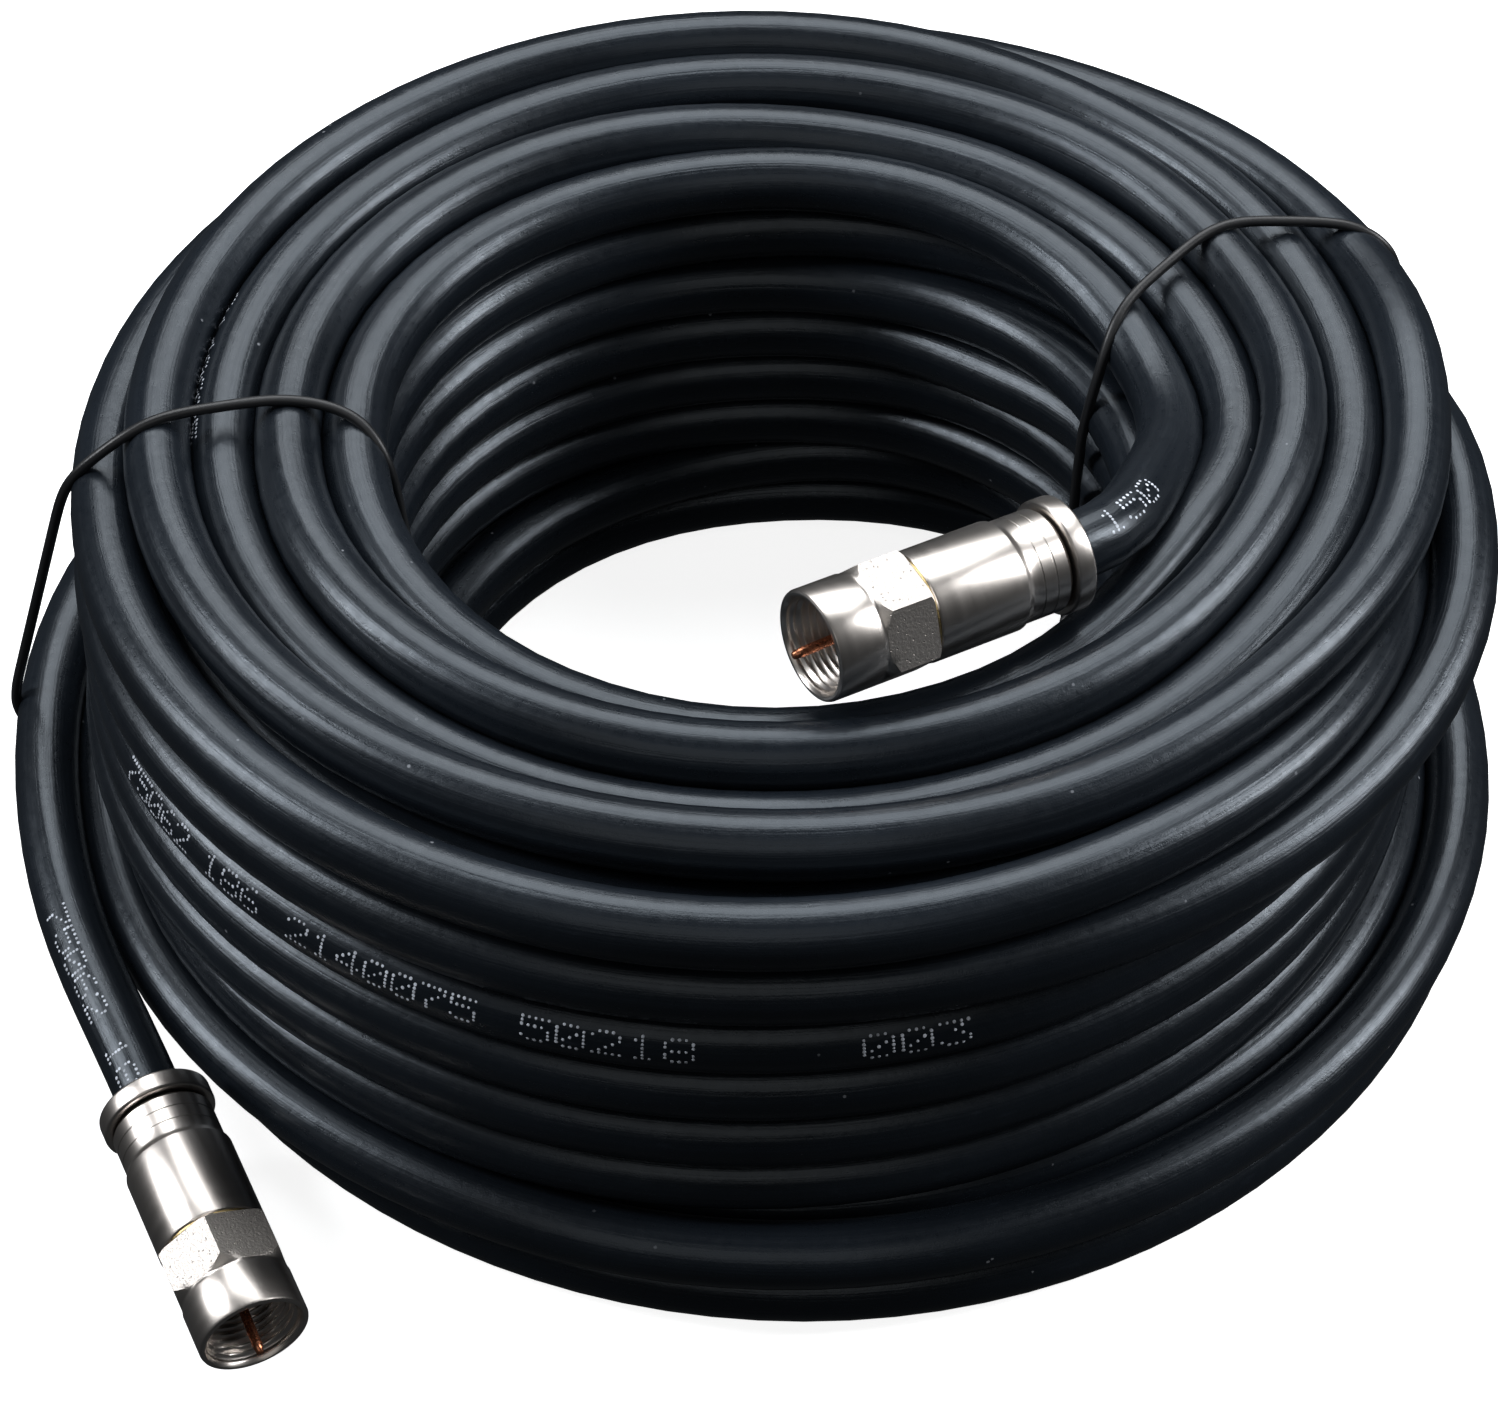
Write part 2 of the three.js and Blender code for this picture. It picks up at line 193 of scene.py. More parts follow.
class StudioSettings(bpy.types.PropertyGroup):
    lens: bpy.props.FloatProperty(
        name="Lens", description="Focal length on a sensor 36 mm wide", default=103.964, subtype="DISTANCE_CAMERA"
    )
    tilt: bpy.props.FloatProperty(
        name="Tilt", description="Angle of the view from straight down", default=math.radians(43.780),
        subtype="ANGLE",
    )
    heading: bpy.props.FloatProperty(
        name="Heading", description="Turn of the view about the vertical", default=math.radians(0.037),
        subtype="ANGLE",
    )
    roll: bpy.props.FloatProperty(
        name="Roll", description="Turn of the view about its own line", default=math.radians(0.278),
        subtype="ANGLE",
    )
    floor_colour: bpy.props.FloatVectorProperty(
        name="Floor", description="Colour of the floor", subtype="COLOR", size=3, default=(0.9, 0.9, 0.9)
    )
    surround: bpy.props.FloatProperty(
        name="Surround", description="Brightness of the room round the studio", default=0.03, min=0
    )


SETTINGS = {
    "cable": CableSettings,
    "print": PrintSettings,
    "connector": ConnectorSettings,
    "tie": TieSettings,
    "studio": StudioSettings,
}


class CoilSettings(bpy.types.PropertyGroup):
    cable: bpy.props.PointerProperty(type=CableSettings)
    print: bpy.props.PointerProperty(type=PrintSettings)
    connector: bpy.props.PointerProperty(type=ConnectorSettings)
    tie: bpy.props.PointerProperty(type=TieSettings)
    studio: bpy.props.PointerProperty(type=StudioSettings)


class Value:
    """A socket of a shader tree that takes arithmetic"""

    def __init__(self, shade, socket):
        self.shade = shade
        self.socket = socket

    def math(self, operation, *others, swap=False):
        operands = [self, *others]
        if swap:
            operands.reverse()
        return self.shade.node("ShaderNodeMath", *operands, operation=operation)

    def __add__(self, other):
        return self.math("ADD", other)

    def __radd__(self, other):
        return self.math("ADD", other, swap=True)

    def __sub__(self, other):
        return self.math("SUBTRACT", other)

    def __rsub__(self, other):
        return self.math("SUBTRACT", other, swap=True)

    def __mul__(self, other):
        return self.math("MULTIPLY", other)

    def __rmul__(self, other):
        return self.math("MULTIPLY", other, swap=True)

    def __truediv__(self, other):
        return self.math("DIVIDE", other)

    def __rtruediv__(self, other):
        return self.math("DIVIDE", other, swap=True)

    def between(self, low, high, start=0.0, end=1.0):
        """The value's place between low and high, from start to end"""
        named = {"From Min": low, "From Max": high, "To Min": start, "To Max": end}
        return self.shade.node("ShaderNodeMapRange", named={"Value": self, **named}, clamp=True)


class Shade:
    """A material whose nodes are made by short calls"""

    def __init__(self, name):
        self.material = bpy.data.materials.new(name)
        self.material.use_nodes = True
        self.tree = self.material.node_tree
        self.surface = next(n for n in self.tree.nodes if n.type == "BSDF_PRINCIPLED")

    def put(self, socket, value):
        if isinstance(value, Value):
            self.tree.links.new(value.socket, socket)
        elif value is not None:
            if socket.type == "RGBA" and len(value) == 3:
                value = (*value, 1.0)
            socket.default_value = value

    def node(self, kind, *inputs, named=None, out=0, **facts):
        """Any node: its inputs by position or by name, and its own settings"""
        made = self.tree.nodes.new(kind)
        for fact, value in facts.items():
            setattr(made, fact, value)
        for socket, value in zip(made.inputs, inputs):
            self.put(socket, value)
        for name, value in (named or {}).items():
            self.put(made.inputs[name], value)
        return Value(self, made.outputs[out])

    def place(self):
        """The point in the object's own coordinates"""
        return self.node("ShaderNodeTexCoord", out="Object")

    def scaled(self, vector, scale):
        return self.node("ShaderNodeVectorMath", vector, scale, operation="MULTIPLY")

    def noise(self, vector, scale, detail=2.0, roughness=0.5):
        named = {"Vector": vector, "Scale": scale, "Detail": detail, "Roughness": roughness}
        return self.node("ShaderNodeTexNoise", named=named)

    def specks(self, vector, scale, size):
        """1 in small round specks, one in each cell"""
        named = {"Vector": vector, "Scale": scale, "Randomness": 1.0}
        distance = self.node("ShaderNodeTexVoronoi", named=named, out="Distance")
        return distance.between(size, size * 0.6)

    def mix(self, factor, first, second):
        """A colour between two others"""
        made = self.tree.nodes.new("ShaderNodeMix")
        made.data_type = "RGBA"
        self.put(made.inputs[0], factor)
        self.put(made.inputs[6], first)
        self.put(made.inputs[7], second)
        return Value(self, made.outputs[2])

    def bump(self, height, distance, strength=1.0, base=None):
        named = {"Height": height, "Distance": distance, "Strength": strength, "Normal": base}
        return self.node("ShaderNodeBump", named=named)

    def attribute(self, name):
        return self.node("ShaderNodeAttribute", attribute_name=name, out="Fac")

    def finish(self, **inputs):
        """Sets the surface's sockets, named with spaces as underscores"""
        for name, value in inputs.items():
            self.put(self.surface.inputs[name.replace("_", " ")], value)
        return self.material


def rgb(colour):
    return tuple(colour)[:3]


def lighter(colour, factor):
    return tuple(min(1.0, c * factor) for c in rgb(colour))


def jacket_material(settings):
    """Satin black plastic with a fine grain, drawn lines along the cable, scuffs, a little dust, and a painted
    sheen as lighter random patches in the colour
    """
    shade = Shade("jacket")
    place = shade.place()
    uv = shade.node("ShaderNodeUVMap", uv_map="cable")
    drawn = shade.noise(shade.scaled(uv, (14.0, 30.0, 1.0)), 1.0, 3.0, 0.6)
    sheen_patches = shade.noise(place, 55.0, 3.0)
    grain = shade.noise(place, 5200.0, 2.0, 0.6)
    mottle = shade.noise(place, 900.0, 3.0, 0.6)
    scuffs = shade.noise(shade.scaled(uv, (160.0, 12.0, 1.0)), 1.0, 4.0, 0.7).between(0.62, 0.78)
    dust = shade.specks(place, 260.0, 0.055) * shade.noise(place, 40.0, 2.0).between(0.5, 0.62)
    # Painted sheen: the colour is lighter in large random patches, standing in for a mottled sheen on the jacket
    body = shade.mix(sheen_patches.between(0.3, 0.7), rgb(settings.colour), lighter(settings.colour, 1.6))
    body = shade.mix(scuffs * 0.35, body, lighter(settings.colour, 4.0))
    body = shade.mix(dust * 0.55, body, rgb(settings.dust_colour))
    lumps = shade.noise(shade.scaled(uv, (190.0, 7.0, 1.0)), 1.0, 3.0, 0.55)
    roughness = drawn.between(0.25, 0.75, 0.25, 0.36) + (mottle - 0.5) * 0.16 + scuffs * 0.08 + dust * 0.2
    lines = shade.bump(drawn, 0.00012, 0.5)
    wavy = shade.bump(lumps, 0.0001, 0.5, lines)
    fine = shade.bump(grain * 0.6 + mottle, 0.00003, 0.8, wavy)
    return shade.finish(Base_Color=body, Roughness=roughness, Normal=fine, Specular_Tint=(0.82, 0.91, 1.0))


def plating_material(settings):
    """Bright nickel: turned lines round the axis, cast grain on the nut's flats, small pits"""
    shade = Shade("plating")
    place = shade.place()
    along = shade.attribute("along")
    flat = shade.attribute("flat")
    rings = shade.node(
        "ShaderNodeTexNoise", named={"W": along * 5200.0, "Scale": 1.0, "Detail": 3.0, "Roughness": 0.65},
        noise_dimensions="1D",
    )
    bands = shade.node(
        "ShaderNodeTexNoise", named={"W": along * 900.0, "Scale": 1.0, "Detail": 1.0}, noise_dimensions="1D"
    )
    grain = shade.noise(place, 3600.0, 3.0, 0.65)
    stain = shade.noise(place, 420.0, 4.0, 0.6)
    pits = shade.specks(place, 1500.0, 0.16) * flat
    colour = shade.mix(stain.between(0.35, 0.75), rgb(settings.metal), lighter(settings.metal, 0.92))
    colour = shade.mix(flat * 0.5, colour, lighter(settings.metal, 0.62))
    colour = shade.mix(pits * 0.6, colour, lighter(settings.metal, 0.45))
    roughness = 0.27 + bands * 0.05 + (stain - 0.45) * 0.04 + flat * 0.14
    turned = shade.bump(rings * (1.0 - flat), 0.00001, 0.35)
    cast = shade.bump(grain * flat + pits * -0.8, 0.00006, 0.9, turned)
    return shade.finish(Base_Color=colour, Metallic=1.0, Roughness=roughness, Normal=cast)


def wire_material(name, colour, roughness):
    """Bare wire with drawn marks and a stain"""
    shade = Shade(name)
    place = shade.place()
    stain = shade.noise(place, 900.0, 3.0, 0.6)
    marks = shade.noise(place, 4200.0, 2.0, 0.6)
    tint = shade.mix(stain.between(0.35, 0.7), colour, lighter(colour, 0.55))
    return shade.finish(
        Base_Color=tint, Metallic=1.0, Roughness=marks.between(0.3, 0.7, roughness, roughness + 0.2),
        Normal=shade.bump(marks, 0.00002, 0.6),
    )


def foam_material(settings):
    shade = Shade("foam")
    place = shade.place()
    cells = shade.noise(place, 5200.0, 2.0, 0.7)
    stain = shade.noise(place, 700.0, 3.0)
    tint = shade.mix(stain.between(0.35, 0.7), rgb(settings.foam), lighter(settings.foam, 0.72))
    return shade.finish(
        Base_Color=tint, Roughness=cells.between(0.2, 0.8, 0.5, 0.7), Normal=shade.bump(cells, 0.00005, 0.7)
    )


def coating_material(settings):
    """Smooth plastic on a tie's wire, with pulled marks"""
    shade = Shade("tie_coating")
    place = shade.place()
    uv = shade.node("ShaderNodeUVMap", uv_map="cable")
    pulled = shade.noise(shade.scaled(uv, (60.0, 9.0, 1.0)), 1.0, 3.0)
    grain = shade.noise(place, 3400.0, 2.0)
    tint = shade.mix(pulled.between(0.35, 0.7), rgb(settings.colour), lighter(settings.colour, 1.9))
    return shade.finish(
        Base_Color=tint, Roughness=pulled.between(0.3, 0.7, 0.33, 0.5), Normal=shade.bump(grain, 0.00003, 0.5)
    )


def ink_material(settings):
    shade = Shade("ink")
    place = shade.place()
    worn = shade.noise(place, 900.0, 3.0, 0.6)
    tint = shade.mix(worn.between(0.4, 0.7), rgb(settings.colour), lighter(settings.colour, 0.45))
    return shade.finish(Base_Color=tint, Roughness=worn.between(0.3, 0.7, 0.5, 0.7))


def floor_material(settings):
    shade = Shade("studio_floor")
    place = shade.place()
    tone = shade.noise(place, 3.0, 2.0)
    tint = shade.mix(tone.between(0.3, 0.7), rgb(settings.floor_colour), lighter(settings.floor_colour, 1.03))
    return shade.finish(
        Base_Color=tint, Roughness=0.75, Specular_IOR_Level=0.2,
        Emission_Color=(1.0, 1.0, 1.0), Emission_Strength=0.86,
    )


# ---- routes


def eased(x, keys, values):
    """A smooth curve through values at keys"""
    keys = np.asarray(keys, float)
    values = np.asarray(values, float)
    slope = np.gradient(values, keys)
    i = np.clip(np.searchsorted(keys, x) - 1, 0, len(keys) - 2)
    span = keys[i + 1] - keys[i]
    t = np.clip((x - keys[i]) / span, 0, 1)
    rise = (t**3 - 2 * t**2 + t) * slope[i] + (t**3 - t**2) * slope[i + 1]
    return (2 * t**3 - 3 * t**2 + 1) * values[i] + (3 * t**2 - 2 * t**3) * values[i + 1] + rise * span


def round_coil(azimuth, quarters):
    """A value given at the right, rear, left and front, at any azimuth"""
    right, rear, left, front = quarters
    return eased(azimuth % 360, (-90, 0, 90, 180, 270, 360, 450), (front, right, rear, left, front, right, rear))


def from_axis(azimuth, radius, height):
    """A point in the row frame, in metres, from an azimuth in degrees and millimetres"""
    angle = np.radians(azimuth)
    flat = np.stack([radius * np.cos(angle), radius * np.sin(angle), height + 0 * angle], -1)
    return np.asarray(COIL_AXIS) + flat * MM


def to_axis(points):
    """Azimuth in degrees, radius and height in millimetres of points in the row frame"""
    local = (np.asarray(points) - np.asarray(COIL_AXIS)) / MM
    azimuth = np.degrees(np.unwrap(np.arctan2(local[:, 1], local[:, 0])))
    return np.stack([azimuth, np.hypot(local[:, 0], local[:, 1]), local[:, 2]], 1)


def smooth_through(points, count=12):
    """Points on a centripetal curve through the given ones"""
    points = np.asarray(points, float)
    padded = np.vstack([2 * points[0] - points[1], points, 2 * points[-1] - points[-2]])
    out = []
    for i in range(1, len(padded) - 2):
        a, b, c, d = padded[i - 1 : i + 3]
        knots = np.cumsum([0, *(np.sqrt(np.linalg.norm(q - p)) for p, q in ((a, b), (b, c), (c, d)))])
        t0, t1, t2, t3 = knots
        t = np.linspace(t1, t2, count, endpoint=False)[:, None]
        ab = (t1 - t) / (t1 - t0) * a + (t - t0) / (t1 - t0) * b
        bc = (t2 - t) / (t2 - t1) * b + (t - t1) / (t2 - t1) * c
        cd = (t3 - t) / (t3 - t2) * c + (t - t2) / (t3 - t2) * d
        abc = (t2 - t) / (t2 - t0) * ab + (t - t0) / (t2 - t0) * bc
        bcd = (t3 - t) / (t3 - t1) * bc + (t - t1) / (t3 - t1) * cd
        out.append((t2 - t) / (t2 - t1) * abc + (t - t1) / (t2 - t1) * bcd)
    out.append(points[-1:])
    return np.vstack(out)


def evenly(points, spacing):
    """The same line with its points the same distance apart"""
    steps = np.linalg.norm(np.diff(points, axis=0), axis=1)
    along = np.concatenate([[0], np.cumsum(steps)])
    at = np.linspace(0, along[-1], max(2, int(round(along[-1] / spacing)) + 1))
    return np.stack([np.interp(at, along, points[:, k]) for k in range(3)], 1)


def tail_line(side, diameter):
    """A tail's centreline in the row frame, from the coil into the connector"""
    rear, axis = (np.asarray(v) for v in CONNECTORS[side])
    route = LEFT_TAIL if side == "left" else RIGHT_TAIL
    points = [from_axis(*p) for p in route]
    points += [rear + axis * along * MM for along in (-diameter / MM, 0, INSIDE_CONNECTOR)]
    return smooth_through(points)


class Winding:
    """The turns as discs in the sections round the coil's axis, settled against each other"""

    stations = 72
    step = 5.0
    start = 15.0

    def __init__(self, settings):
        self.diameter = settings.diameter / MM
        self.cells = self.cell_order()
        self.turns = SPIRAL_TURNS + len(self.cells)
        self.left = to_axis(tail_line("left", settings.diameter))
        right = to_axis(tail_line("right", settings.diameter))
        self.right = right[np.argsort(right[:, 0])]
        self.total = np.arange(self.start, 360.0 * self.turns + 205 + 0.1, self.step)
        self.aim(settings)
        self.station_index()
        self.settle(settings.settle_steps)

    def cell_order(self):
        """The layer and row of each turn below the spiral, in the order of winding"""
        rows = range(ROWS - 2)
        cells = [(layer, ROWS - 2) for layer in reversed(range(LAYERS))]
        cells += [(0, row) for row in reversed(rows)]
        cells += [(1, row) for row in rows]
        cells += [(2, row) for row in reversed(rows)]
        cells += [(3, row) for row in rows]
        cells += [(LAYERS - 1, row) for row in reversed(rows) if row >= LOWERED_ROWS]
        return [*cells, "lowest", "loose"]

    def cell_target(self, cell, azimuth):
        """Where a turn wants to lie at an azimuth, and how strongly"""
        radius = self.diameter / 2
        if cell == "loose":
            return round_coil(azimuth, LOOSE_RADIUS), round_coil(azimuth, LOOSE_HEIGHT), 0.08
        if cell == "lowest":
            return round_coil(azimuth, LOWEST_RADIUS), radius, 0.08
        layer, row = cell
        at = INNER_RADIUS + layer * LAYER_PITCH
        if row < LOWERED_ROWS:
            ring = LOWERED_INNER_RADIUS + layer * LOWERED_LAYER_PITCH
            angle = math.radians(azimuth)
            at = LOWERED_SHIFT * math.cos(angle) + math.sqrt(ring**2 - (LOWERED_SHIFT * math.sin(angle)) ** 2)
        if layer == LAYERS - 1:
            return at, round_coil(azimuth, OUTER_TOP_HEIGHT) - ROW_PITCH * (ROWS - 1 - row), 0.08
        if layer == 0:
            rise = (round_coil(azimuth, INNER_TOP_HEIGHT) - radius) * row / (ROWS - 1)
            return at, radius + rise, 0.08
        nested = 3.0 if layer % 2 and row >= LOWERED_ROWS else 0.0
        return at, radius + self.diameter * row + nested, 0.01

    def aim(self, settings):
        total = self.total
        azimuth = total % 360
        keys, radii, heights = (np.array(v, float) for v in zip(*SPIRAL))
        aims = np.stack([eased(total, keys, radii), eased(total, keys, heights)], 1)
        weights = np.full(len(total), 0.12)
        for i in np.flatnonzero(total > keys[-1]):
            k = int(total[i] // 360) - SPIRAL_TURNS
            a = azimuth[i]
            if k >= len(self.cells):
                continue
            r, z, weight = self.cell_target(self.cells[k], a)
            before = aims[i] if k == 0 else self.cell_target(self.cells[k - 1], a)[:2]
            part = min(1.0, a / 110.0)
            part = part * part * (3 - 2 * part)
            aims[i] = before[0] * (1 - part) + r * part, before[1] * (1 - part) + z * part
            weights[i] = weight
        last = total - 360.0 * self.turns
        route = np.stack([np.interp(last, self.left[:, 0], self.left[:, k]) for k in (1, 2)], 1)
        leaving = last >= 0
        part = np.clip(last / 100, 0, 1)[:, None]
        part = part * part * (3 - 2 * part)
        loose = np.array([self.cell_target("loose", a)[:2] for a in azimuth])
        aims[leaving] = (loose * (1 - part) + route * part)[leaving]
        weights[leaving] = 0.06
        rng = np.random.default_rng(4)
        knots = rng.normal(0, settings.wander / MM, (int(total[-1] // 45) + 3, 2))
        stray = np.stack([eased(total, 45.0 * np.arange(len(knots)), knots[:, k]) for k in (0, 1)], 1)
        held = last >= 150
        aims[~held] += stray[~held]
        self.held = held
        self.held[0] = True
        self.aims = aims
        self.weights = weights
        self.azimuth = azimuth

    def station_index(self):
        count = len(self.total)
        turns = -(-count // self.stations)
        index = np.full(turns * self.stations, -1)
        index[:count] = np.arange(count)
        self.grid = index.reshape(turns, self.stations).T
        self.used = self.grid >= 0
        self.pick = np.where(self.used, self.grid, 0)
        places = (self.start + self.step * np.arange(self.stations) + 180) % 360 - 180
        self.block = np.full((self.stations, 3), (500.0, 500.0, 0.0))
        for s, a in enumerate(places):
            if -34 <= a <= 12:
                at = [np.interp(a, self.right[:, 0], self.right[:, k]) for k in (1, 2)]
                self.block[s] = (*at, self.diameter / 2)
        for place in CONNECTORS.values():
            rear, axis = (np.asarray(v) for v in place)
            line = to_axis(np.array([rear + axis * t * MM for t in np.linspace(0, CONNECTOR_LENGTH, 12)]))
            turned = (line[:, 0] + 180) % 360 - 180
            order = np.argsort(turned)
            inside = (places >= turned.min()) & (places <= turned.max())
            for s in np.flatnonzero(inside):
                at = [np.interp(places[s], turned[order], line[order, k]) for k in (1, 2)]
                self.block[s] = (*at, CONNECTOR_CLEARANCE)

    def push(self, points, gain):
        """How far each disc moves away from those that it runs into"""
        count = self.grid.shape[1]
        apart = 1e4 + 100.0 * np.arange(count)[None, :, None]
        discs = np.where(self.used[..., None], points[self.pick], apart)
        free = np.where(self.used, ~self.held[self.pick], False).astype(float)
        away = discs[:, :, None] - discs[:, None, :]
        distance = np.sqrt((away**2).sum(-1)) + 1e-9
        overlap = np.clip(self.diameter - distance, 0, None)
        overlap[:, np.arange(count), np.arange(count)] = 0
        share = free[:, :, None] / np.maximum(free[:, :, None] + free[:, None, :], 1e-9)
        move = np.einsum("sijk,sij->sik", away, overlap * share / distance)
        away = discs - self.block[:, None, :2]
        distance = np.sqrt((away**2).sum(-1)) + 1e-9
        overlap = np.clip(self.diameter / 2 + self.block[:, None, 2] - distance, 0, None) * free
        move += away * (overlap / distance)[..., None]
        out = np.zeros_like(points)
        out[self.grid[self.used]] = move[self.used] * gain
        return out

    def settle(self, rounds):
        points = self.aims.copy()
        free = (~self.held).astype(float)[:, None]
        floor = np.full(len(points), self.diameter / 2)
        for azimuth in TIE_AZIMUTHS.values():
            off = np.abs((self.azimuth - azimuth + 180) % 360 - 180)
            floor = np.maximum(floor, self.diameter / 2 + 1.2 * np.clip(1 - off / 12, 0, 1))
        hidden = self.weights < 0.05
        for k in range(rounds):
            pull = self.weights * (1.0 if k < 0.75 * rounds else 0.3)
            points += (self.aims - points) * pull[:, None] * free
            points[hidden, 1] -= 0.01
            bend = np.zeros_like(points)
            bend[1:-1] = (points[:-2] + points[2:]) / 2 - points[1:-1]
            points += bend * 0.5 * free
            for _ in range(3):
                points += self.push(points, 0.55)
                points[:, 1] = np.maximum(points[:, 1], floor)
        self.points = points

    def line(self, settings):
        """The whole centreline in the row frame, from the right connector to the left one"""
        fine = np.arange(self.total[0], self.total[-1], self.step / 4)
        radius, height = (eased(fine, self.total, self.points[:, k]) for k in (0, 1))
        wound = from_axis(fine, radius, height)
        right = tail_line("right", settings.diameter)[::-1]
        right = right[to_axis(right)[:, 0] < self.total[0] - 2]
        left = tail_line("left", settings.diameter)
        left = left[to_axis(left)[:, 0] > self.total[-1] - 360.0 * self.turns + 2]
        joined = evenly(np.vstack([right, wound, left]), settings.ring_spacing)
        for _ in range(2):
            joined[1:-1] = joined[1:-1] * 0.5 + (joined[:-2] + joined[2:]) * 0.25
        return joined

    def discs_at(self, azimuth_of_radius):
        """Each turn's disc in the section that a tie follows, whose azimuth changes with the radius"""
        out = []
        for first in range(int(self.total[0] // 360), self.turns + 1):
            azimuth = azimuth_of_radius(55.0)
            for _ in range(3):
                at = 360.0 * first + azimuth
                if at < self.total[0] or at > self.total[-1]:
                    break
                radius, height = (float(np.interp(at, self.total, self.points[:, k])) for k in (0, 1))
                azimuth = azimuth_of_radius(radius)
            else:
                out.append((radius, height))
        return np.array(out)


# ---- meshes


def link(obj):
    bpy.context.scene.collection.objects.link(obj)
    return obj


def add_mesh(name, vertices, faces, material):
    mesh = bpy.data.meshes.new(name)
    mesh.from_pydata(np.asarray(vertices).tolist(), [], faces)
    mesh.validate()
    mesh.update()
    mesh.polygons.foreach_set("use_smooth", np.ones(len(mesh.polygons), bool))
    mesh.materials.append(material)
    return link(bpy.data.objects.new(name, mesh))


def face_outwards(mesh):
    work = bmesh.new()
    work.from_mesh(mesh)
    bmesh.ops.recalc_face_normals(work, faces=work.faces)
    if work.calc_volume(signed=True) < 0:
        bmesh.ops.reverse_faces(work, faces=work.faces)
    work.to_mesh(mesh)
    work.free()


def upright_frames(line):
    """Tangent, outward and upward directions along a line that never stands on end"""
    tangent = np.gradient(line, axis=0)
    tangent /= np.linalg.norm(tangent, axis=1)[:, None]
    outward = np.cross(tangent, (0, 0, 1))
    outward /= np.linalg.norm(outward, axis=1)[:, None]
    return tangent, outward, np.cross(outward, tangent)


def carried_frames(line):
    """Directions across a line, carried along it without twisting"""
    tangent = np.gradient(line, axis=0)
    tangent /= np.linalg.norm(tangent, axis=1)[:, None]
    side = np.cross(tangent[0], (0, 0, 1) if abs(tangent[0][2]) < 0.9 else (1, 0, 0))
    sides = []
    for t in tangent:
        side = side - t * (side @ t)
        side /= np.linalg.norm(side)
        sides.append(side)
    sides = np.array(sides)
    return tangent, sides, np.cross(sides, tangent)


def tube(name, line, frames, radius, sides, material):
    """A closed tube along a line, with the length in metres and the way round as its UV"""
    tangent, across, over = frames
    count = len(line)
    angle = np.linspace(0, 2 * math.pi, sides, endpoint=False)
    ring = np.cos(angle)[None, :, None] * across[:, None] + np.sin(angle)[None, :, None] * over[:, None]
    radius = np.broadcast_to(np.asarray(radius, float), (count,))
    points = line[:, None] + ring * radius[:, None, None]
    tips = line[0] - tangent[0] * radius[0] * 0.2, line[-1] + tangent[-1] * radius[-1] * 0.2
    vertices = [*points.reshape(-1, 3), *tips]
    i, j = np.meshgrid(np.arange(count - 1), np.arange(sides), indexing="ij")
    a = (i * sides + j).ravel()
    b = (i * sides + (j + 1) % sides).ravel()
    faces = np.stack([a, b, b + sides, a + sides], 1).tolist()
    first, last = count * sides, count * sides + 1
    end = (count - 1) * sides
    faces += [[first, (k + 1) % sides, k] for k in range(sides)]
    faces += [[last, end + k, end + (k + 1) % sides] for k in range(sides)]
    obj = add_mesh(name, vertices, faces, material)
    along = np.concatenate([[0], np.cumsum(np.linalg.norm(np.diff(line, axis=0), axis=1))])
    u = np.stack([along[i.ravel()], along[i.ravel()], along[i.ravel() + 1], along[i.ravel() + 1]], 1)
    v = np.stack([j.ravel(), j.ravel() + 1, j.ravel() + 1, j.ravel()], 1) / sides
    cap = np.zeros((2 * sides * 3, 2))
    layer = obj.data.uv_layers.new(name="cable")
    layer.data.foreach_set("uv", np.vstack([np.stack([u.ravel(), v.ravel()], 1), cap]).astype(np.float32).ravel())
    face_outwards(obj.data)
    return obj


def turned(name, rows, place, columns, material, smooth_angle=35, flat=None):
    """A closed turned piece: rows of (length along the axis, radius), where a radius may be a list of its own
    for each column. A radius of zero closes the piece on the axis."""
    angle = np.linspace(0, 2 * math.pi, columns, endpoint=False)
    vertices, rings, lengths, flats = [], [], [], []
    for k, (along, radius) in enumerate(rows):
        on_axis = np.isscalar(radius) and radius == 0
        if on_axis:
            ring = np.array([[0, along, 0]])
        else:
            radius = np.broadcast_to(np.asarray(radius, float), (columns,))
            along_columns = np.broadcast_to(np.asarray(along, float), (columns,))
            ring = np.stack([radius * np.sin(angle), along_columns, radius * np.cos(angle)], 1)
        rings.append((len(vertices), len(ring)))
        vertices.extend(ring)
        lengths.extend(ring[:, 1] * MM)
        flats.extend([0.0 if flat is None else float(flat[k])] * len(ring))
    closed = rows[0][1] if np.isscalar(rows[0][1]) else 1
    pairs = list(zip(rings, rings[1:]))
    if closed != 0:
        pairs.append((rings[-1], rings[0]))
    faces = []
    for (first, n), (second, m) in pairs:
        for j in range(columns):
            k = (j + 1) % columns
            if n == 1 and m == 1:
                break
            if n == 1:
                faces.append([first, second + j, second + k])
            elif m == 1:
                faces.append([first + k, first + j, second])
            else:
                faces.append([first + k, first + j, second + j, second + k])
    rear, axis = place
    turn = Vector((0, 1, 0)).rotation_difference(Vector(axis)).to_matrix()
    world = np.asarray(vertices) * MM @ np.array(turn).T + np.asarray(rear)
    obj = add_mesh(name, world, faces, material)
    for attribute, values in (("along", lengths), ("flat", flats)):
        layer = obj.data.attributes.new(attribute, "FLOAT", "POINT")
        layer.data.foreach_set("value", np.asarray(values, np.float32))
    face_outwards(obj.data)
    obj.data.set_sharp_from_angle(angle=math.radians(smooth_angle))
    return obj


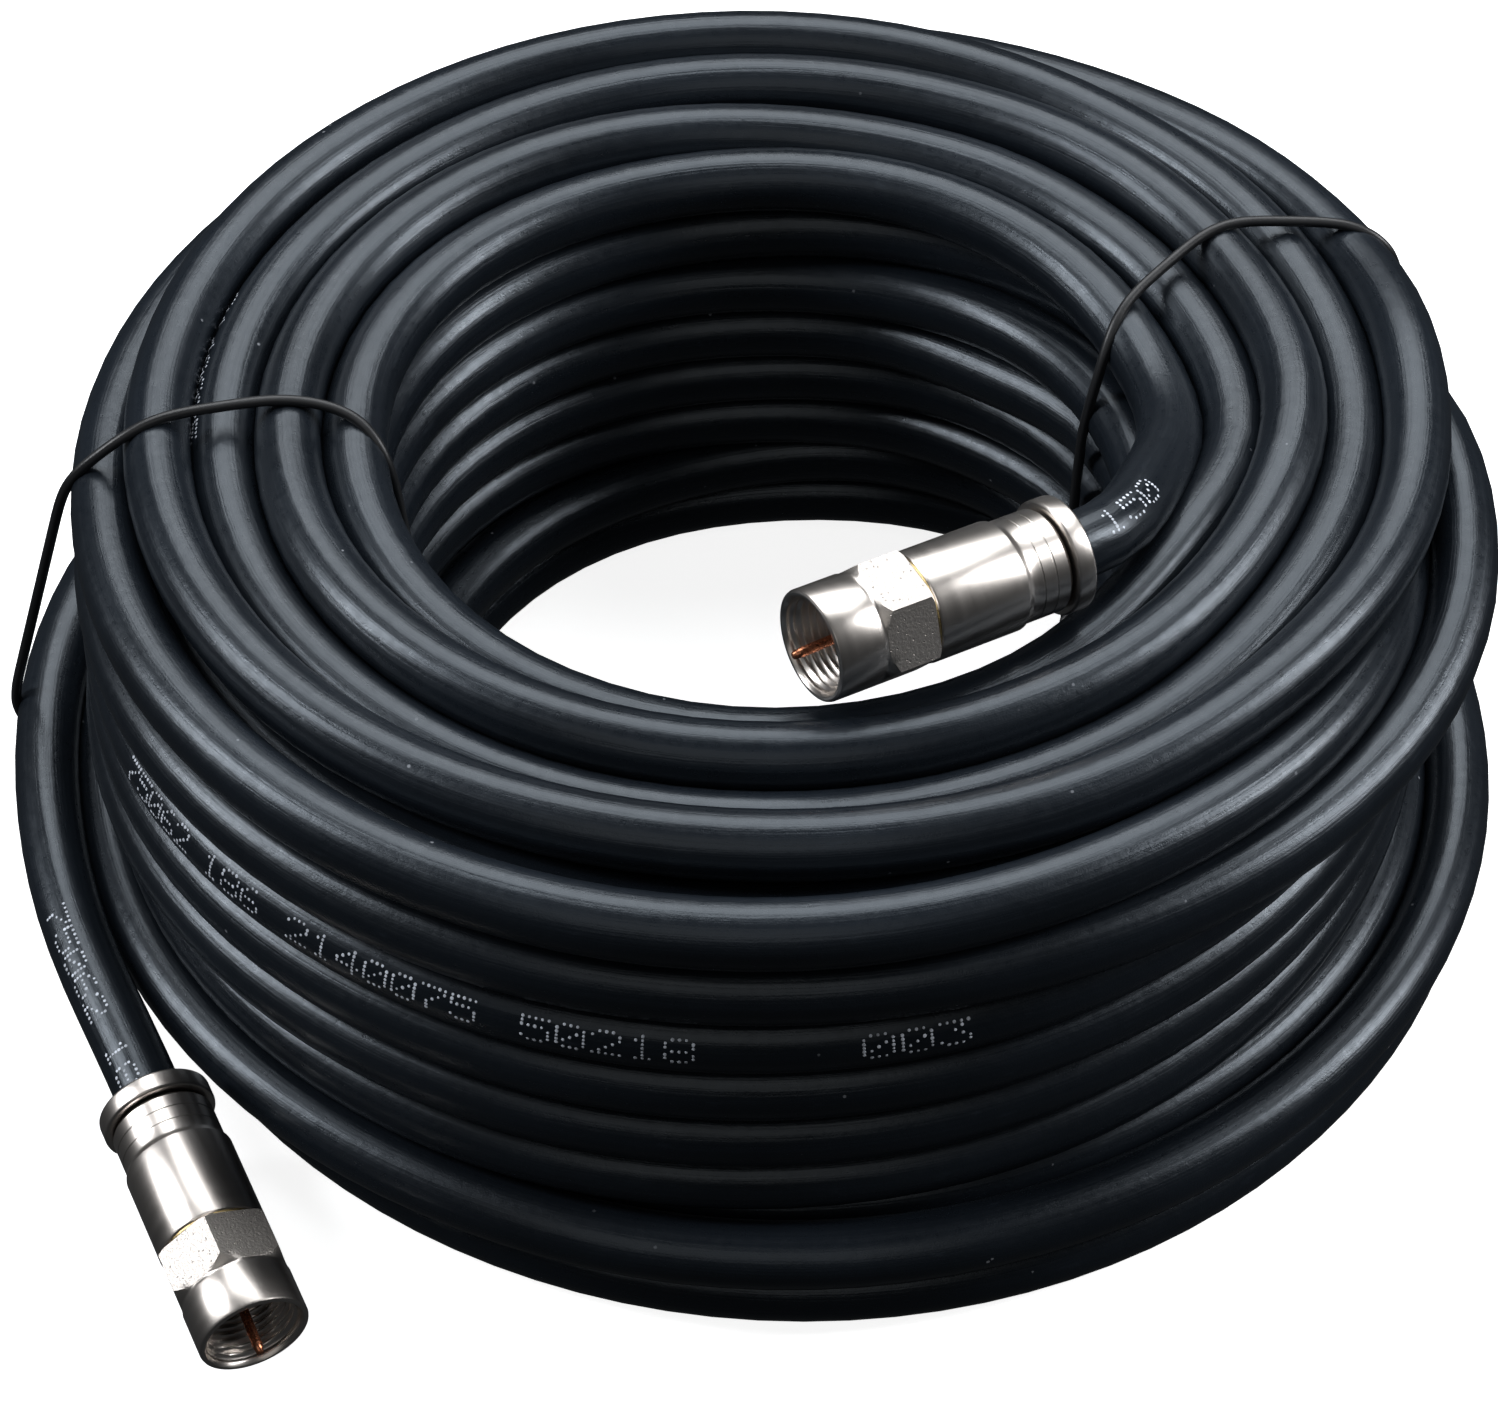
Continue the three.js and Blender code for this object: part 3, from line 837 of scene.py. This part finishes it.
def bevelled(corners, size):
    """Corners of a profile, each cut by a small round"""
    out = []
    count = len(corners)
    for i, corner in enumerate(corners):
        corner = np.asarray(corner, float)
        before = np.asarray(corners[i - 1], float) - corner
        after = np.asarray(corners[(i + 1) % count], float) - corner
        reach = min(size, np.linalg.norm(before) * 0.45, np.linalg.norm(after) * 0.45)
        start = corner + before / np.linalg.norm(before) * reach
        end = corner + after / np.linalg.norm(after) * reach
        for t in (0.0, 0.33, 0.67, 1.0):
            out.append(tuple(start * (1 - t) ** 2 + corner * 2 * t * (1 - t) + end * t**2))
    return out


# ---- operators


class COIL_OT_studio(bpy.types.Operator):
    """Sets the camera, the floor and the lights"""

    bl_idname = "coil.studio"
    bl_label = "Studio"

    def execute(self, context):
        settings = context.scene.cable_coil.studio
        lens = bpy.data.cameras.new("camera")
        lens.sensor_fit = "HORIZONTAL"
        lens.sensor_width = 36
        lens.lens = settings.lens
        lens.clip_end = 20
        camera = link(bpy.data.objects.new("camera", lens))
        turn = Matrix.Rotation(settings.heading, 4, "Z") @ Matrix.Rotation(settings.tilt, 4, "X")
        turn = turn @ Matrix.Rotation(settings.roll, 4, "Z")
        place = Vector(COIL_AXIS) + Vector((-0.000513, -0.327751, 0.354790))
        camera.matrix_world = Matrix.Translation(place) @ turn
        context.scene.camera = camera

        side = 6.0
        corners = [(-side, -side, 0), (side, -side, 0), (side, side, 0), (-side, side, 0)]
        floor = add_mesh("studio_floor", corners, [[0, 1, 2, 3]], floor_material(settings))
        floor.visible_glossy = False
        floor.visible_diffuse = False

        world = bpy.data.worlds.new("studio_surround")
        world.use_nodes = True
        back = world.node_tree.nodes["Background"]
        back.inputs["Color"].default_value = (0.88, 0.94, 1.0, 1.0)
        back.inputs["Strength"].default_value = settings.surround
        context.scene.world = world
        context.scene.view_settings.view_transform = "Standard"

        aim = Vector(COIL_AXIS) + Vector((0, 0, 0.03))
        for name, place, size, power, colour in (
            ("light_top", (0.0, 0.60, 1.00), (1.2, 0.9), 15, (0.96, 0.98, 1.0)),
            ("light_left", (-1.00, 0.05, 0.70), (0.32, 0.7), 10, (0.95, 0.97, 1.0)),
            ("light_right", (1.00, 0.05, 0.70), (0.32, 0.7), 10.5, (0.97, 0.98, 1.0)),
            ("light_front", (-0.2, -1.30, 1.35), (1.6, 1.2), 2.9, (1.0, 0.98, 0.95)),
        ):
            lamp = bpy.data.lights.new(name, "AREA")
            lamp.shape = "RECTANGLE"
            lamp.size, lamp.size_y = size
            lamp.energy = power
            lamp.color = colour
            light = link(bpy.data.objects.new(name, lamp))
            light.location = Vector(place)
            light.rotation_euler = (aim - light.location).to_track_quat("-Z", "Y").to_euler()
        return {"FINISHED"}


class COIL_OT_cable(bpy.types.Operator):
    """Winds the cable from one connector to the other"""

    bl_idname = "coil.cable"
    bl_label = "Cable"

    def execute(self, context):
        settings = context.scene.cable_coil.cable
        winding = Winding(settings)
        line = winding.line(settings)
        cable = tube(
            "cable", line, upright_frames(line), settings.diameter / 2, settings.sides, jacket_material(settings)
        )
        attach(cable, "winding")
        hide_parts("coil", "cable_tail_left", "cable_tail_right")
        BUILT["winding"] = winding
        BUILT["line"] = line
        return {"FINISHED"}


FIGURES = (
    "01110 10001 10011 10101 11001 10001 01110",
    "00100 01100 00100 00100 00100 00100 01110",
    "01110 10001 00001 00010 00100 01000 11111",
    "11111 00010 00100 00010 00001 10001 01110",
    "00010 00110 01010 10010 11111 00010 00010",
    "11111 10000 11110 00001 00001 10001 01110",
    "00110 01000 10000 11110 10001 10001 01110",
    "11111 00001 00010 00100 01000 01000 01000",
    "01110 10001 10001 01110 10001 10001 01110",
    "01110 10001 10001 01111 00001 00010 01100",
)

# Where figures are printed: turn, azimuth of the first one, angle up from the outside, length of cable for
# each figure in millimetres, and the figures
PRINTS = (
    (34, 207.0, 22, 2.55, "75062"),
    (34, 219.8, 22, 2.9, "186"),
    (34, 230.0, 22, 3.1, "2140075"),
    (34, 251.8, 22, 3.35, "50218"),
    (34, 278.4, 22, 3.55, "003"),
    (40, 203.0, 58, 3.1, "75062 18"),
    (0, -33.5, 66, 3.1, "150"),
    (2, 160.0, 20, 3.1, "2140075"),
)


class COIL_OT_print(bpy.types.Operator):
    """Prints rows of plain figures on the jacket in small dots"""

    bl_idname = "coil.print"
    bl_label = "Print"

    def execute(self, context):
        coil = context.scene.cable_coil
        settings = coil.print
        line = BUILT["line"]
        tangent, outward, upward = upright_frames(line)
        where = to_axis(line)[:, 0]
        turns_before = round((where[0] - (-50)) / 360) * 360
        where = where - turns_before
        along = np.concatenate([[0], np.cumsum(np.linalg.norm(np.diff(line, axis=0), axis=1))])
        radius = coil.cable.diameter / 2
        points, normals = [], []
        for turn, azimuth, angle, advance, text in PRINTS:
            start = float(np.interp(360.0 * turn + azimuth, where, along))
            for k, figure in enumerate(text):
                if figure == " ":
                    continue
                for row, bits in enumerate(FIGURES[int(figure)].split()):
                    for column, bit in enumerate(bits):
                        if bit == "0":
                            continue
                        at = start + advance * MM * (k + 0.76 * column / 4)
                        lift = settings.height * (0.5 - row / 6)
                        i = np.clip(np.searchsorted(along, at) - 1, 0, len(along) - 2)
                        t = (at - along[i]) / (along[i + 1] - along[i])
                        centre, out, over = (v[i] * (1 - t) + v[i + 1] * t for v in (line, outward, upward))
                        around = math.radians(angle) + lift / radius
                        normal = out * math.cos(around) + over * math.sin(around)
                        normals.append(normal)
                        points.append(centre + normal * (radius - 0.00001))
        mesh = bpy.data.meshes.new("print_points")
        mesh.from_pydata(np.array(points).tolist(), [], [])
        layer = mesh.attributes.new("facing", "FLOAT_VECTOR", "POINT")
        layer.data.foreach_set("vector", np.asarray(normals, np.float32).ravel())
        dots = link(bpy.data.objects.new("print_dots", mesh))
        modifier = dots.modifiers.new("dots", "NODES")
        modifier.node_group = dots_group(ink_material(settings))
        identifier = {s.name: s.identifier for s in modifier.node_group.interface.items_tree if s.in_out == "INPUT"}
        modifier[identifier["Radius"]] = settings.dot
        modifier[identifier["Height"]] = 0.14
        applied(dots)
        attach(dots, "winding")
        return {"FINISHED"}


def applied(obj):
    """The object with its modifiers' result as its plain mesh"""
    graph = bpy.context.evaluated_depsgraph_get()
    mesh = bpy.data.meshes.new_from_object(obj.evaluated_get(graph))
    obj.modifiers.clear()
    obj.data = mesh
    return obj


def dots_group(material):
    """Sets a small flat dot on each point, facing the way the point faces"""
    group = bpy.data.node_groups.new("dots", "GeometryNodeTree")
    group.interface.new_socket("Geometry", in_out="INPUT", socket_type="NodeSocketGeometry")
    group.interface.new_socket("Radius", in_out="INPUT", socket_type="NodeSocketFloat")
    group.interface.new_socket("Height", in_out="INPUT", socket_type="NodeSocketFloat")
    group.interface.new_socket("Geometry", in_out="OUTPUT", socket_type="NodeSocketGeometry")

    def node(kind, **facts):
        made = group.nodes.new(kind)
        for fact, value in facts.items():
            setattr(made, fact, value)
        return made

    source = node("NodeGroupInput")
    result = node("NodeGroupOutput")
    facing = node("GeometryNodeInputNamedAttribute", data_type="FLOAT_VECTOR")
    facing.inputs["Name"].default_value = "facing"
    turn = node("FunctionNodeAlignRotationToVector", axis="Z")
    dot = node("GeometryNodeMeshIcoSphere")
    dot.inputs["Subdivisions"].default_value = 2
    size = node("ShaderNodeCombineXYZ")
    vary = node("FunctionNodeRandomValue", data_type="FLOAT")
    vary.inputs[2].default_value = 0.75
    vary.inputs[3].default_value = 1.1
    vary.inputs["Seed"].default_value = 3
    instances = node("GeometryNodeInstanceOnPoints")
    realize = node("GeometryNodeRealizeInstances")
    paint = node("GeometryNodeSetMaterial")
    paint.inputs["Material"].default_value = material
    links = group.links
    links.new(facing.outputs["Attribute"], turn.inputs["Vector"])
    links.new(source.outputs["Radius"], dot.inputs["Radius"])
    flat = (("X", vary.outputs[1]), ("Y", vary.outputs[1]), ("Z", source.outputs["Height"]))
    for name, value in flat:
        links.new(value, size.inputs[name])
    links.new(source.outputs["Geometry"], instances.inputs["Points"])
    links.new(dot.outputs["Mesh"], instances.inputs["Instance"])
    links.new(turn.outputs["Rotation"], instances.inputs["Rotation"])
    links.new(size.outputs["Vector"], instances.inputs["Scale"])
    links.new(instances.outputs["Instances"], realize.inputs["Geometry"])
    links.new(realize.outputs["Geometry"], paint.inputs["Geometry"])
    links.new(paint.outputs["Geometry"], result.inputs["Geometry"])
    return group


def hexagon(columns, across_flats):
    """The distance from the axis to a hexagon's side, for each column"""
    angle = np.linspace(0, 2 * math.pi, columns, endpoint=False)
    from_flat = (angle + math.pi / 6) % (math.pi / 3) - math.pi / 6
    return across_flats / 2 / np.cos(from_flat)


class COIL_OT_connectors(bpy.types.Operator):
    """Builds the connector on each end of the cable"""

    bl_idname = "coil.connectors"
    bl_label = "Connectors"

    def execute(self, context):
        coil = context.scene.cable_coil
        settings = coil.connector
        plating = plating_material(settings)
        copper = wire_material("conductor", rgb(settings.copper), 0.2)
        brass = wire_material("washer", rgb(settings.brass), 0.25)
        foam = foam_material(settings)
        for side, place in CONNECTORS.items():
            pieces = self.connector(side, place, coil, plating, copper, brass, foam)
            BUILT[side] = pieces
        return {"FINISHED"}

    def connector(self, side, place, coil, plating, copper, brass, foam):
        settings = coil.connector
        columns = settings.columns
        cable = coil.cable.diameter / MM / 2
        ring = turned(
            f"crimp_ring_{side}",
            bevelled([(0, cable + 0.12), (0, 5.9), (2.1, 5.9), (2.1, cable + 0.12)], 0.28),
            place, columns, plating,
        )
        body = turned(f"connector_shell_{side}", self.shell_rows(cable), place, columns, plating)
        washer = turned(
            f"washer_{side}", bevelled([(17.78, 3.7), (17.78, 5.45), (18.12, 5.45), (18.12, 3.7)], 0.1),
            place, columns, brass,
        )
        rows, flat = self.nut_rows(settings)
        nut = turned(f"hex_nut_{side}", rows, place, columns, plating, 28, flat)
        post = turned(
            f"post_{side}",
            bevelled([(POST_START, 2.6), (POST_START, 3.2), (19.2, 3.2), (19.2, 4.25), (20.3, 4.25), (20.3, 2.6)], 0.15),
            place, columns, plating,
        )
        core = turned(
            f"core_{side}", [(POST_START, 0), *bevelled([(POST_START, 2.55), (20.15, 2.55)], 0.2)[2:6], (20.15, 0.6), (19.95, 0)],
            place, 48, foam,
        )
        pin = self.pin(side, place, copper)
        for piece, node, slot in (
            (ring, "compression_ring", "nickel"), (body, "connector_body", "nickel"), (washer, None, "copper"),
            (post, "centre_post", "nickel"), (core, "dielectric", "foam"), (pin, "centre_pin", "copper"),
        ):
            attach(piece, "winding")
            if node:
                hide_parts(f"{node}_{side}")
        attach(nut, f"nut_{side}")
        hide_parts(f"coupling_nut_{side}")
        return [ring, body, washer, nut, post, core, pin]

    def shell_rows(self, cable):
        """A rim, a sleeve with two fine rings, a short taper and the smooth body"""
        bore = cable + 0.15
        fine = 0.07
        outer = [(2.4, 5.05), (2.75, 5.3)]
        for at in (4.1, 5.6):
            outer += [(at, 5.3), (at + 0.06, 5.3 - fine), (at + 0.2, 5.3 - fine), (at + 0.26, 5.3)]
        outer += [(6.9, 5.3), (7.2, 5.36), (7.6, 5.6), (7.8, 5.65), (17.45, 5.65), (17.7, 5.6), (17.8, 5.48)]
        inner = [(17.8, 3.5), (8.4, 3.5), (8.4, bore), (2.4, bore)]
        return outer + inner

    def nut_rows(self, settings):
        """The hexagon with its chamfers, the smooth skirt and the thread inside, from the rear"""
        columns = settings.columns
        hexagonal = hexagon(columns, settings.across_flats / MM)
        corner = settings.across_flats / MM / math.sqrt(3)
        start, hex_end, end = 18.1, 23.9, CONNECTOR_LENGTH
        skirt = 5.7
        rows, flat = [], []

        def add(along, radius, is_flat=0.0):
            rows.append((along, radius))
            flat.append(is_flat)

        rear_cut = np.clip(hexagonal - (corner - 0.32), 0, None)
        front_cut = np.clip(hexagonal - (skirt - 0.05), 0, None)
        add(start, np.minimum(hexagonal, corner - 0.6) - 0.12)
        add(start + 0.1, np.minimum(hexagonal, corner - 0.32))
        add(start + 0.12 + rear_cut * 0.9, hexagonal, 1.0)
        add(start + 0.6, hexagonal, 1.0)
        add(hex_end - 1.2, hexagonal, 1.0)
        add(hex_end - 0.12 - front_cut * 1.15, hexagonal, 1.0)
        add(hex_end - 0.02, np.minimum(hexagonal, skirt - 0.02))
        add(hex_end + 0.25, skirt - 0.06)
        add(hex_end + 0.45, skirt)
        add(end - 0.35, skirt)
        add(end - 0.12, skirt - 0.08)
        add(end, skirt - 0.3)
        thread = 4.85
        add(end - 0.02, thread + 0.3)
        add(end - 0.3, thread + 0.05)
        pitch = settings.thread_pitch / MM
        depth = settings.thread_depth / MM
        turn = np.linspace(0, 1, columns, endpoint=False)
        first, last = end - 0.45, start + 1.15
        count = int((first - last) / pitch * 8)
        for k in range(count + 1):
            along = first + (last - first) * k / count
            phase = (along / pitch + turn) % 1
            tooth = np.abs(2 * phase - 1)
            fade = min(1.0, k / 8, (count - k) / 8)
            add(along, thread - depth * fade * np.clip(tooth * 1.3 - 0.15, 0, 1))
        add(start + 0.95, thread)
        add(start + 0.8, 3.5)
        add(start, 3.5)
        return rows, flat

    def pin(self, side, place, material):
        """The cable's centre conductor, slightly bent, with a cut end"""
        rear, axis = (Vector(v) for v in place)
        across = axis.orthogonal().normalized()
        line = []
        for k in range(25):
            along = 8.7 + (31.3 - 8.7) * k / 24
            bend = 0.25 * max(0.0, (along - 20) / 11) ** 2
            line.append(rear + axis * along * MM + across * bend * MM)
        line = np.array([list(p) for p in line])
        radius = np.full(len(line), 0.51) * MM
        radius[-1] = 0.36 * MM
        return tube(f"conductor_{side}", line, carried_frames(line), radius, 20, material)


def upper_hull(discs, radius, count=48):
    """The closed outline of a band drawn tight round discs, outwards by the given radius, in order"""
    angle = np.linspace(0, 2 * math.pi, count, endpoint=False)
    rim = np.stack([np.cos(angle), np.sin(angle)], 1) * radius
    points = (discs[:, None] + rim[None]).reshape(-1, 2)
    points = points[np.lexsort((points[:, 1], points[:, 0]))]

    def half(points):
        chain = []
        for p in points:
            while len(chain) > 1:
                a, b = chain[-1] - chain[-2], p - chain[-2]
                if a[0] * b[1] - a[1] * b[0] > 0:
                    break
                chain.pop()
            chain.append(p)
        return chain[:-1]

    return np.array(half(points) + half(points[::-1]))


class COIL_OT_ties(bpy.types.Operator):
    """Binds the coil with two coated wires whose ends are twisted"""

    bl_idname = "coil.ties"
    bl_label = "Ties"

    def execute(self, context):
        coil = context.scene.cable_coil
        material = coating_material(coil.tie)
        for side in ("left", "right"):
            tie = self.tie(side, coil, material)
            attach(tie, "winding")
            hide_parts(f"tie_{side}")
        return {"FINISHED"}

    def azimuth(self, side, radius, height):
        """The azimuth of a tie where it passes at a radius, which differs above and below the coil"""
        above = min(1.0, max(0.0, (height - 30) / 20))
        below = TIE_BELOW[side]
        return float(below + (eased(radius, *TIE_ABOVE[side]) - below) * above)

    def tie(self, side, coil, material):
        settings = coil.tie
        winding = BUILT["winding"]
        thick = settings.diameter / MM
        discs = winding.discs_at(lambda radius: self.azimuth(side, radius, 50))
        low = winding.discs_at(lambda radius: self.azimuth(side, radius, 0))
        discs = np.vstack([discs[discs[:, 1] > 28], low[low[:, 1] <= 28]])
        hull = upper_hull(discs, winding.diameter / 2 + thick / 2 + 0.02)
        hull[:, 1] = np.maximum(hull[:, 1], thick / 2 + 0.01)
        gap = np.argmin(hull[:, 0] * 3 + np.abs(hull[:, 1] - TIE_ENDS_HEIGHT[side]))
        loop = np.roll(hull, -gap, axis=0)
        points = np.array([from_axis(self.azimuth(side, r, z), r, z) for r, z in [*loop[1:], loop[0]]])
        points = evenly(points, 0.0022)
        for _ in range(3):
            points[1:-1] = points[1:-1] * 0.5 + (points[:-2] + points[2:]) * 0.25
        middle = (points[0] + points[-1]) / 2
        out = np.asarray(COIL_AXIS) - middle
        out[2] = 0
        out = out / np.linalg.norm(out)
        up = np.array([0, 0, 1.0])
        run = out * 0.8 + up * 0.6 if side == "left" else out * 0.5 + np.cross(up, out) * 0.85
        run /= np.linalg.norm(run)
        over = np.cross(run, np.cross(out, up))
        over /= np.linalg.norm(over)
        beside = np.cross(run, over)
        strands = []
        for phase in (0.0, math.pi):
            strand = []
            for k in range(49):
                t = k / 48
                turn = phase + t * 4.2 * 2 * math.pi
                reach = 0.0012 + 0.0115 * t
                swing = settings.diameter * 0.52 * min(1.0, 0.4 + t * 3)
                strand.append(middle + run * reach + (over * math.cos(turn) + beside * math.sin(turn)) * swing)
            strands.append(np.array(strand))
        first = np.linalg.norm(strands[0][0] - points[0]) + np.linalg.norm(strands[1][0] - points[-1])
        crossed = np.linalg.norm(strands[1][0] - points[0]) + np.linalg.norm(strands[0][0] - points[-1])
        if crossed < first:
            strands.reverse()
        line = np.vstack([strands[0][::-1], points[1:-1], strands[1]])
        line = evenly(line, 0.0005)
        for _ in range(3):
            line[1:-1] = line[1:-1] * 0.5 + (line[:-2] + line[2:]) * 0.25
        return tube(
            f"wire_tie_{side}", line, carried_frames(line), settings.diameter / 2, settings.sides, material
        )


class COIL_OT_declare(bpy.types.Operator):
    bl_idname = "coil.declare"
    bl_label = "Declare the cable"

    def execute(self, context):
        return {"FINISHED"}


OPERATORS = (
    COIL_OT_studio,
    COIL_OT_cable,
    COIL_OT_print,
    COIL_OT_connectors,
    COIL_OT_ties,
    COIL_OT_declare,
)


class COIL_PT_panel(bpy.types.Panel):
    """Sizes and colours of the coil, and a button for each of its parts"""

    bl_idname = "COIL_PT_panel"
    bl_label = "Cable coil"
    bl_space_type = "VIEW_3D"
    bl_region_type = "UI"
    bl_category = "Cable coil"

    def draw(self, context):
        coil = context.scene.cable_coil
        for name, group in SETTINGS.items():
            box = self.layout.box()
            box.label(text=name.capitalize())
            for entry in group.__annotations__:
                box.prop(getattr(coil, name), entry)
        for operator in OPERATORS:
            self.layout.operator(operator.bl_idname)


CLASSES = (*SETTINGS.values(), CoilSettings, *OPERATORS, COIL_PT_panel)
BUILT = {}


def register():
    for cls in CLASSES:
        bpy.utils.register_class(cls)
    bpy.types.Scene.cable_coil = bpy.props.PointerProperty(type=CoilSettings)


def unregister():
    del bpy.types.Scene.cable_coil
    for cls in reversed(CLASSES):
        bpy.utils.unregister_class(cls)


def main():
    register()
    bpy.ops.coil.studio()
    bpy.ops.coil.cable()
    bpy.ops.coil.print()
    bpy.ops.coil.connectors()
    bpy.ops.coil.ties()
    bpy.ops.coil.declare()


if __name__ == "__main__":
    main()
